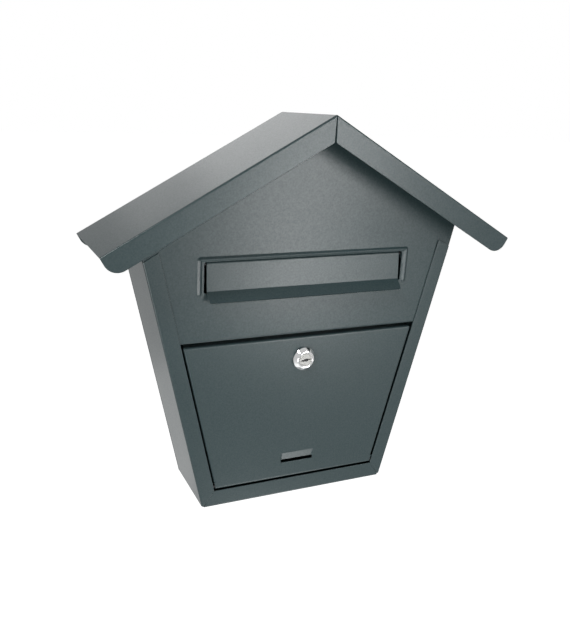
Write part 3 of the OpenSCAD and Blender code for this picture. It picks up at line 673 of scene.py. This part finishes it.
def flap_shell(sheet, door, material):
    """Letter flap: one sheet rolled round its rod at the top and bent outwards into a finger lip.
    Down the flap, a point runs round the roll, straight down the plate, round a bend and out along
    the lip; the whole profile is then tilted about the rod. Across, it runs between the ends, which
    step in for the roll and the lip and end in round corners."""
    roll, tilt = door.roll, door.flap_tilt
    axis_h = sheet.slot_foot + sheet.slot_height - door.flap_head - roll
    axis_y = FRONT + door.flap_set + roll
    drop = (axis_h - sheet.slot_foot - door.fold_rise) / math.cos(tilt)
    rolled = np.linspace(-math.pi / 3, math.pi, 33)
    circle = np.stack([np.cos(rolled), np.sin(rolled)], -1)
    lip = np.array([-math.sin(door.lip_bend), -math.cos(door.lip_bend)])
    fold = np.array([-roll, -drop])
    plate_top = -roll, -0.0008
    line, turn = folded_line([plate_top, fold, fold + lip * door.lip_length], (door.lip_radius,))
    plate = np.linspace(line[0], line[1], 5)
    bent = line[2:-1]
    tail = np.linspace(1, 0, 9)[:, None] ** 2
    points = np.vstack([roll * circle, plate, bent, line[-1] - lip * (door.lip_corner * tail)])
    left = np.vstack([circle, np.tile([-1.0, 0.0], (len(plate), 1)), -turn[2:-1],
                      np.tile(-turn[-1], (len(tail), 1))])
    away, inset = joined(
        (0 * rolled, door.lip_inset), (np.zeros(len(plate) + 1), 0),
        (np.zeros(len(bent) - 1), door.lip_inset), (door.lip_corner * (1 - tail[:, 0]), door.lip_inset))
    corner = door.lip_corner - np.sqrt(np.maximum(door.lip_corner ** 2 - away ** 2, 0))
    width = sheet.slot_half - door.flap_side - inset - corner
    share = np.r_[0, np.linspace(0.1, 0.9, 5), 0.995, 1]
    x = width[:, None] * np.r_[-share[:0:-1], share]
    spin = np.array([[math.cos(tilt), -math.sin(tilt)], [math.sin(tilt), math.cos(tilt)]])
    y, z = (points @ spin).T[..., None]
    normal_y, normal_z = (left @ spin).T[..., None]
    outer = vectors(x, axis_y + y, axis_h + FOOT + z)
    normal = vectors(0 * x, normal_y, normal_z)
    flap = sheet_object("flap_shell", outer, normal, every_cell(outer), sheet, material)
    return soften(flap, sheet.edge)


# ---------- Lock ----------

def on_lock_axis(door):
    """Place on the lock's axis from which its lathe and prism pieces are drawn."""
    return 0, 0, door.lock_height + FOOT


def bezel_lathe(door, material):
    """Lock housing: a bezel with a straight skirt and a cone on a barrel with a stepped bore, turned
    round the lock's axis."""
    skirt, face, barrel, bore, recess = 0.0117, 0.0085, 0.008, 0.00605, 0.00705
    skirt_top, cone_foot, recess_depth, chamfer, joint = 0.0022, 0.0027, 0.00155, 0.0003, 0.0001
    front, rear = BEZEL_LOW.y, BEZEL_HIGH.y
    ring = [
        (skirt - joint, FRONT), (skirt, FRONT - chamfer), (skirt, FRONT - skirt_top),
        (skirt - chamfer, FRONT - cone_foot), (face + 0.0002, front + chamfer), (face - chamfer, front),
        (recess + chamfer, front), (recess, front + chamfer), (recess, front + recess_depth),
        (bore, front + recess_depth), (bore, rear), (barrel, rear), (barrel, FRONT), (skirt - joint, FRONT)]
    return soften(lathe_object("lock_bezel", ring, on_lock_axis(door), material), 0.0001)


def keyway_plate(door, material):
    """Face of the lock's plug: a thin turned disc with a fine groove near its rim, cut through by the
    stepped outline of a keyhole that is turned a little from level."""
    middle, front = on_lock_axis(door), BEZEL_LOW.y
    face, floor, rear = front - 0.0003, front - 0.0001, front + 0.0001
    disc = [(0, face), (0.0053, face), (0.00535, floor), (0.00545, floor), (0.0055, face),
            (0.0063, face), (0.0065, floor), (0.0065, rear), (0, rear)]
    plate = lathe_object("keyway_plate", disc, middle, material)
    outline = 0.001 * np.array([
        (-4.6, -0.2), (-4.3, 0.5), (-2.5, 0.55), (-1.9, 1.1), (-0.8, 1.3), (0.4, 1.25), (1.3, 0.8),
        (2.2, 0.85), (2.8, 0.5), (4.3, 0.65), (4.6, 0.1), (4.2, -0.3), (2.5, -0.35), (1.9, -0.9),
        (0.6, -1.15), (-0.5, -1.0), (-1.5, -0.6), (-2.3, -0.95), (-3.5, -1.1), (-4.4, -0.9)])
    turn, stretch, reach = math.radians(4), (1.05, 1.2), 0.001
    spin = np.array([[math.cos(turn), math.sin(turn)], [-math.sin(turn), math.cos(turn)]])
    cutter = prism_object("keyway", outline @ spin * stretch, front - reach, front + reach, middle, material)
    cut_away(plate, cutter)
    plate.data.shade_flat()
    return soften(plate, 0.00006, flatten=False)


def keyhole_shade_plate(door, material):
    """Painted shade: a flat dark rectangular plate behind the plug's face that stands in for the shade inside
    the keyhole.
    """
    corners = np.array([(-1, -1), (1, -1), (1, 1), (-1, 1)]) * (0.00465, 0.00115)
    front, thickness = BEZEL_LOW.y + 0.0007, 0.0004
    return prism_object("keyhole_shade_plate", corners, front, front + thickness, on_lock_axis(door), material)


# ---------- Finishes ----------

def feed(node, inputs):
    """Gives each listed input of a node its value, or links it to another node's output."""
    for key, value in inputs.items():
        if isinstance(value, bpy.types.NodeSocket):
            node.id_data.links.new(value, node.inputs[key])
        else:
            node.inputs[key].default_value = value
    return node


def add_node(tree, kind, inputs, **settings):
    """Adds a node with its settings and its inputs."""
    node = tree.nodes.new(kind)
    for key, value in settings.items():
        setattr(node, key, value)
    return feed(node, inputs)


def texture_group():
    """Node group for sprayed and plated finishes: a fine grain, a soft orange peel and broad patches,
    as a tone, a roughness, a height and the grain by itself."""
    if "fine_finish" in bpy.data.node_groups:
        return bpy.data.node_groups["fine_finish"]
    group = bpy.data.node_groups.new("fine_finish", "ShaderNodeTree")
    sockets = group.interface
    for label, value in (("Grain Scale", 700.0), ("Peel Scale", 420.0), ("Patch Scale", 14.0),
                         ("Roughness Low", 0.4), ("Roughness High", 0.5),
                         ("Grain in Height", 0.3), ("Grain in Tone", 0.35)):
        sockets.new_socket(name=label, in_out="INPUT", socket_type="NodeSocketFloat").default_value = value
    for label in ("Tone", "Roughness", "Height", "Grain"):
        sockets.new_socket(name=label, in_out="OUTPUT", socket_type="NodeSocketFloat")
    given = group.nodes.new("NodeGroupInput").outputs
    place = group.nodes.new("ShaderNodeTexCoord").outputs["Object"]

    def noise(scale, detail):
        """Noise over the object's own space, at one of the given scales."""
        inputs = {"Vector": place, "Scale": given[scale], "Detail": detail}
        return add_node(group, "ShaderNodeTexNoise", inputs).outputs["Fac"]

    def mixed(share, low, high):
        """From low at a share of zero evenly to high at a share of one."""
        return add_node(group, "ShaderNodeMix", {"Factor": share, "A": low, "B": high}).outputs["Result"]

    grain, peel, patch = noise("Grain Scale", 1.0), noise("Peel Scale", 2.0), noise("Patch Scale", 2.0)
    tone = mixed(given["Grain in Tone"], patch, grain)
    feed(group.nodes.new("NodeGroupOutput"), {
        "Tone": tone, "Roughness": mixed(tone, given["Roughness Low"], given["Roughness High"]),
        "Height": mixed(given["Grain in Height"], peel, grain), "Grain": grain})
    return group


def finish_material(name, colour, spread, roughness, metallic=0.0, bump=0.1, depth=0.00004,
                    specular=0.5, sparkle=0.0):
    """A painted, plated or rubber surface whose colour, roughness and relief vary a little. Sparkle
    adds a clear coat whose weight follows the grain."""
    if name in bpy.data.materials:
        return bpy.data.materials[name]
    material = bpy.data.materials.new(name)
    material.use_nodes = True
    tree = material.node_tree
    low, high = roughness
    finish = add_node(tree, "ShaderNodeGroup", {}, node_tree=texture_group())
    feed(finish, {"Roughness Low": low, "Roughness High": high})
    dark, light = np.array(colour) * (1 - spread), np.array(colour) * (1 + spread)
    mix = add_node(tree, "ShaderNodeMix", {
        "Factor": finish.outputs["Tone"], "A": (*dark, 1), "B": (*light, 1)}, data_type="RGBA")
    relief = add_node(tree, "ShaderNodeBump", {
        "Strength": bump, "Distance": depth, "Height": finish.outputs["Height"]})
    shader = feed(tree.nodes["Principled BSDF"], {
        "Base Color": mix.outputs["Result"], "Metallic": metallic, "Roughness": finish.outputs["Roughness"],
        "Specular IOR Level": specular, "Normal": relief.outputs["Normal"]})
    if sparkle:
        grains = add_node(tree, "ShaderNodeMix", {"Factor": finish.outputs["Grain"], "A": 0.0, "B": sparkle})
        feed(shader, {"Coat Weight": grains.outputs["Result"], "Coat Roughness": (low + high) / 2})
    return material


def finishes(colours):
    """The seven finishes of the mailbox, by material slot."""
    return {
        "powder_coat": finish_material("satin_coat", colours.coat, 0.10, (0.28, 0.36), bump=0.5, depth=0.0001,
                                       specular=0.19, sparkle=0.63),
        "zinc_steel": finish_material("bright_zinc", colours.zinc, 0.08, (0.28, 0.42), 1.0, 0.15),
        "shade_darkened_steel": finish_material("shade_darkened_steel", colours.steel, 0.10, (0.5, 0.65), 1.0, 0.15),
        # Painted shade: the hinge rods and the keyhole's plate are painted dark for the shade that falls
        # inside the box and the lock.
        "lock_chrome": finish_material("polished_chrome", colours.chrome, 0.02, (0.04, 0.06), 1.0, 0.0),
        "nickel": finish_material("satin_nickel", colours.nickel, 0.03, (0.45, 0.52), 1.0, 0.05),
        "brass": finish_material("plain_brass", colours.brass, 0.06, (0.25, 0.38), 1.0, 0.1),
        "rubber": finish_material("black_rubber", colours.rubber, 0.12, (0.6, 0.75), bump=0.3),
    }


# All nodes that aren't listed are powder coated.
NODE_SLOTS = {
    "roof_studs": "zinc_steel", "roof_washers": "zinc_steel", "roof_nuts": "zinc_steel",
    # The hinge rods take the darkened steel, painted shade for the dark inside of the box.
    "flap_rod": "shade_darkened_steel", "door_rod": "shade_darkened_steel", "door_buffers": "rubber",
    "lock_housing": "lock_chrome", "lock_washer": "zinc_steel", "lock_nut": "zinc_steel",
    "lock_plug": "lock_chrome", "lock_wafers": "brass", "lock_cam": "zinc_steel",
    "cam_washer": "zinc_steel", "cam_screw": "zinc_steel",
}


# ---------- Stage ----------

FLOOR_HALF = 30.0                       # half of the floor's width
BOX, FACE = (0, -0.05, 0.05), (0, -0.08, 0.1)
LEFT_WALL, GABLE, DOOR_TOP = (-0.11, -0.04, -0.1), (-0.1, -0.109, 0.1), (0, -0.076, -0.124)

# Name, place, point that it looks at, width and height, setting of its power and share of that
LAMPS = (
    ("key", (0.62, -1.354, -0.13), FACE, (0.2, 0.56), "key_power", 1.0),
    ("key_high", (0.77, -1.354, 0.27), FACE, (0.26, 0.3), "high_power", 1.0),
    ("rear", (0.45, 1.3, 0.75), BOX, (0.9, 0.4), "rear_power", 1.0),
    ("rear_high", (0.3, 1.3, 1.0), BOX, (0.9, 0.4), "rear_power", 1.25),
    ("rear_low", (0.25, 1.3, 0.52), BOX, (0.9, 0.2), "rear_power", 0.6),
    ("low", (-0.16, 0.6, -0.47), LEFT_WALL, (0.4, 0.25), "low_power", 1.0),
    ("left", (-1.17, -0.9, -0.42), BOX, (0.35, 0.6), "side_power", 1.5),
    ("left_front", (-0.77, -1.25, -0.25), BOX, (0.35, 0.35), "side_power", 1.0),
    ("edge", (-0.88, -0.65, 1.27), GABLE, (0.4, 0.4), "edge_power", 1.0),
    ("table", (0.18, -0.40, -0.57), DOOR_TOP, (0.2, 0.15), "table_power", 1.0),
)


def aim(eye, yaw, dip, roll):
    """Matrix of a camera at an eye point that looks along Y, turned right, tilted down and rolled."""
    forward = Vector((math.sin(yaw) * math.cos(dip), math.cos(yaw) * math.cos(dip), -math.sin(dip)))
    right = Vector((math.cos(yaw), -math.sin(yaw), 0))
    up = right.cross(forward)
    across = math.cos(roll) * right + math.sin(roll) * up
    upright = math.cos(roll) * up - math.sin(roll) * right
    turned = Matrix((across, upright, -forward)).transposed().to_4x4()
    return Matrix.Translation(eye) @ turned


def studio_camera(stage):
    """Camera with a shifted lens."""
    lens = bpy.data.cameras.new("camera")
    lens.lens = stage.lens
    lens.shift_x, lens.shift_y = stage.shift
    lens.clip_start, lens.clip_end = 0.01, 50
    camera = bpy.data.objects.new("camera", lens)
    camera.matrix_world = aim(Vector(stage.eye), stage.yaw, stage.dip, stage.roll)
    bpy.context.scene.collection.objects.link(camera)
    return camera


def soft_lamp(name, place, target, size, power):
    """A rectangular area lamp that looks at a point and isn't seen itself."""
    lamp = bpy.data.lights.new(name, "AREA")
    lamp.shape = "RECTANGLE"
    lamp.size, lamp.size_y = size
    lamp.energy = power
    piece = bpy.data.objects.new(name, lamp)
    piece.visible_camera = False
    piece.location = place
    piece.rotation_euler = (Vector(target) - Vector(place)).to_track_quat("-Z", "Y").to_euler()
    bpy.context.scene.collection.objects.link(piece)


def seen_as_white(tree, share):
    """One for camera rays, a share of one for glossy and transmission rays, and zero for the rest."""
    ray = tree.nodes.new("ShaderNodeLightPath").outputs

    def worked_out(operation, first, second):
        """The outcome of one sum on two values."""
        return add_node(tree, "ShaderNodeMath", {0: first, 1: second}, operation=operation).outputs[0]

    mirrored = worked_out("MAXIMUM", ray["Is Glossy Ray"], ray["Is Transmission Ray"])
    return worked_out("MAXIMUM", ray["Is Camera Ray"], worked_out("MULTIPLY", mirrored, share))


def studio_world(stage):
    """Soft light all round. Camera rays see it as plain white, and mirror rays as a share of white."""
    world = bpy.data.worlds.new("studio")
    bpy.context.scene.world = world
    world.use_nodes = True
    tree = world.node_tree
    level = add_node(tree, "ShaderNodeMapRange", {
        "Value": seen_as_white(tree, stage.mirror_share), "To Min": stage.world, "To Max": 1.0})
    feed(tree.nodes["Background"], {"Color": (1, 1, 1, 1), "Strength": level.outputs["Result"]})


def floor_material(stage):
    """Pale floor that keeps its shadows and glows just enough to be seen as near white."""
    material = bpy.data.materials.new("pale_floor")
    material.use_nodes = True
    tree = material.node_tree
    glow = add_node(tree, "ShaderNodeMath", {0: seen_as_white(tree, stage.mirror_share), 1: stage.floor_glow},
                    operation="MULTIPLY")
    feed(tree.nodes["Principled BSDF"], {
        "Base Color": (*stage.floor, 1), "Roughness": 0.9, "Specular IOR Level": 0.1,
        "Emission Color": (1, 1, 1, 1), "Emission Strength": glow.outputs[0]})
    return material


def wide_floor(stage):
    """Level square far below the box."""
    corners = FLOOR_HALF * np.array([(-1, -1, 0), (1, -1, 0), (1, 1, 0), (-1, 1, 0)])
    corners[:, 2] = FOOT - stage.floor_drop
    return make_object("floor", corners, np.array([[0, 1, 2, 3]]), floor_material(stage))


# ---------- Operators ----------

def settings(context):
    """The sizes of the sheet and of the door, and the finishes by material slot."""
    scene = context.scene
    return scene.mailbox_sheet, scene.mailbox_door, finishes(scene.mailbox_colours)


def place_piece(piece, body, slot, *nodes):
    """Lets a piece ride on a body and stand for CAD nodes; its slot argument is not used."""
    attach(piece, body)
    if nodes:
        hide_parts(*nodes)


class MAILBOX_OT_finishes(bpy.types.Operator):
    """Give every CAD part its finish"""
    bl_idname = "mailbox.finishes"
    bl_label = "Finishes"

    def execute(self, context):
        """Sets the material of each CAD node by its slot."""
        made = settings(context)[2]
        for name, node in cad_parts.items():
            node.data.materials.clear()
            node.data.materials.append(made[NODE_SLOTS.get(name, "powder_coat")])
        return {"FINISHED"}


class MAILBOX_OT_roof(bpy.types.Operator):
    """Build the folded roof"""
    bl_idname = "mailbox.roof"
    bl_label = "Roof"

    def execute(self, context):
        """Builds the roof shell in the place of the CAD roof."""
        sheet, _, made = settings(context)
        place_piece(roof_shell(sheet, made["powder_coat"]), "body", "powder_coat", "roof")
        return {"FINISHED"}


class MAILBOX_OT_body(bpy.types.Operator):
    """Build the wrapped body"""
    bl_idname = "mailbox.body"
    bl_label = "Body"

    def execute(self, context):
        """Builds the body shell in the place of the CAD wrap."""
        sheet, _, made = settings(context)
        place_piece(body_shell(sheet, made["powder_coat"]), "body", "powder_coat", "body_wrap")
        return {"FINISHED"}


class MAILBOX_OT_front_panel(bpy.types.Operator):
    """Build the slotted front panel"""
    bl_idname = "mailbox.front_panel"
    bl_label = "Front panel"

    def execute(self, context):
        """Builds the front panel in the place of the CAD panel."""
        sheet, _, made = settings(context)
        place_piece(front_panel_shell(sheet, made["powder_coat"]), "body", "powder_coat", "front_panel")
        return {"FINISHED"}


class MAILBOX_OT_door(bpy.types.Operator):
    """Build the folded door"""
    bl_idname = "mailbox.door"
    bl_label = "Door"

    def execute(self, context):
        """Builds the door shell in the place of the CAD door."""
        sheet, door, made = settings(context)
        place_piece(door_shell(sheet, door, made["powder_coat"]), "door", "powder_coat", "door_panel")
        return {"FINISHED"}


class MAILBOX_OT_flap(bpy.types.Operator):
    """Build the letter flap"""
    bl_idname = "mailbox.flap"
    bl_label = "Letter flap"

    def execute(self, context):
        """Builds the flap in the place of the CAD flap."""
        sheet, door, made = settings(context)
        place_piece(flap_shell(sheet, door, made["powder_coat"]), "flap", "powder_coat", "letter_flap")
        return {"FINISHED"}


class MAILBOX_OT_lock(bpy.types.Operator):
    """Build the lock's bezel and the face of its plug"""
    bl_idname = "mailbox.lock"
    bl_label = "Lock"

    def execute(self, context):
        """Builds the bezel in the place of the CAD housing, and a face plate on the plug."""
        _, door, made = settings(context)
        place_piece(bezel_lathe(door, made["lock_chrome"]), "door", "lock_chrome", "lock_housing")
        place_piece(keyway_plate(door, made["nickel"]), "lock_core", "lock_chrome")
        # The dark plate behind the keyhole is painted shade for the inside of the lock.
        place_piece(keyhole_shade_plate(door, made["shade_darkened_steel"]), "lock_core", "zinc_steel")
        return {"FINISHED"}


class MAILBOX_OT_stage(bpy.types.Operator):
    """Set up the camera, the lamps, the floor and the world"""
    bl_idname = "mailbox.stage"
    bl_label = "Stage"

    def execute(self, context):
        """Builds the stage round the mailbox."""
        scene, stage = context.scene, context.scene.mailbox_stage
        scene.view_settings.view_transform = "Standard"
        scene.camera = studio_camera(stage)
        wide_floor(stage)
        studio_world(stage)
        for name, place, target, size, setting, share in LAMPS:
            soft_lamp(name, place, target, size, getattr(stage, setting) * share)
        return {"FINISHED"}


class MAILBOX_PT_panel(bpy.types.Panel):
    """Panel with the sizes and the steps that build the mailbox"""
    bl_idname = "MAILBOX_PT_panel"
    bl_label = "Mailbox"
    bl_space_type = "VIEW_3D"
    bl_region_type = "UI"
    bl_category = "Mailbox"

    def draw(self, context):
        """Lists every setting and every operator."""
        for key, group in SETTINGS.items():
            box = self.layout.box()
            for name in group.__annotations__:
                box.prop(getattr(context.scene, key), name)
        for step in STEPS:
            self.layout.operator(step.bl_idname)


STEPS = (MAILBOX_OT_finishes, MAILBOX_OT_roof, MAILBOX_OT_body, MAILBOX_OT_front_panel, MAILBOX_OT_door,
         MAILBOX_OT_flap, MAILBOX_OT_lock, MAILBOX_OT_stage)
CLASSES = (*SETTINGS.values(), *STEPS, MAILBOX_PT_panel)


def register():
    """Adds the classes and the settings to Blender."""
    for item in CLASSES:
        bpy.utils.register_class(item)
    for key, group in SETTINGS.items():
        setattr(bpy.types.Scene, key, PointerProperty(type=group))


def unregister():
    """Takes the settings and the classes out of Blender."""
    for key in SETTINGS:
        delattr(bpy.types.Scene, key)
    for item in reversed(CLASSES):
        bpy.utils.unregister_class(item)


def main():
    """Builds the whole scene."""
    register()
    bpy.ops.mailbox.finishes()
    bpy.ops.mailbox.roof()
    bpy.ops.mailbox.body()
    bpy.ops.mailbox.front_panel()
    bpy.ops.mailbox.door()
    bpy.ops.mailbox.flap()
    bpy.ops.mailbox.lock()
    bpy.ops.mailbox.stage()


if __name__ == "__main__":
    main()
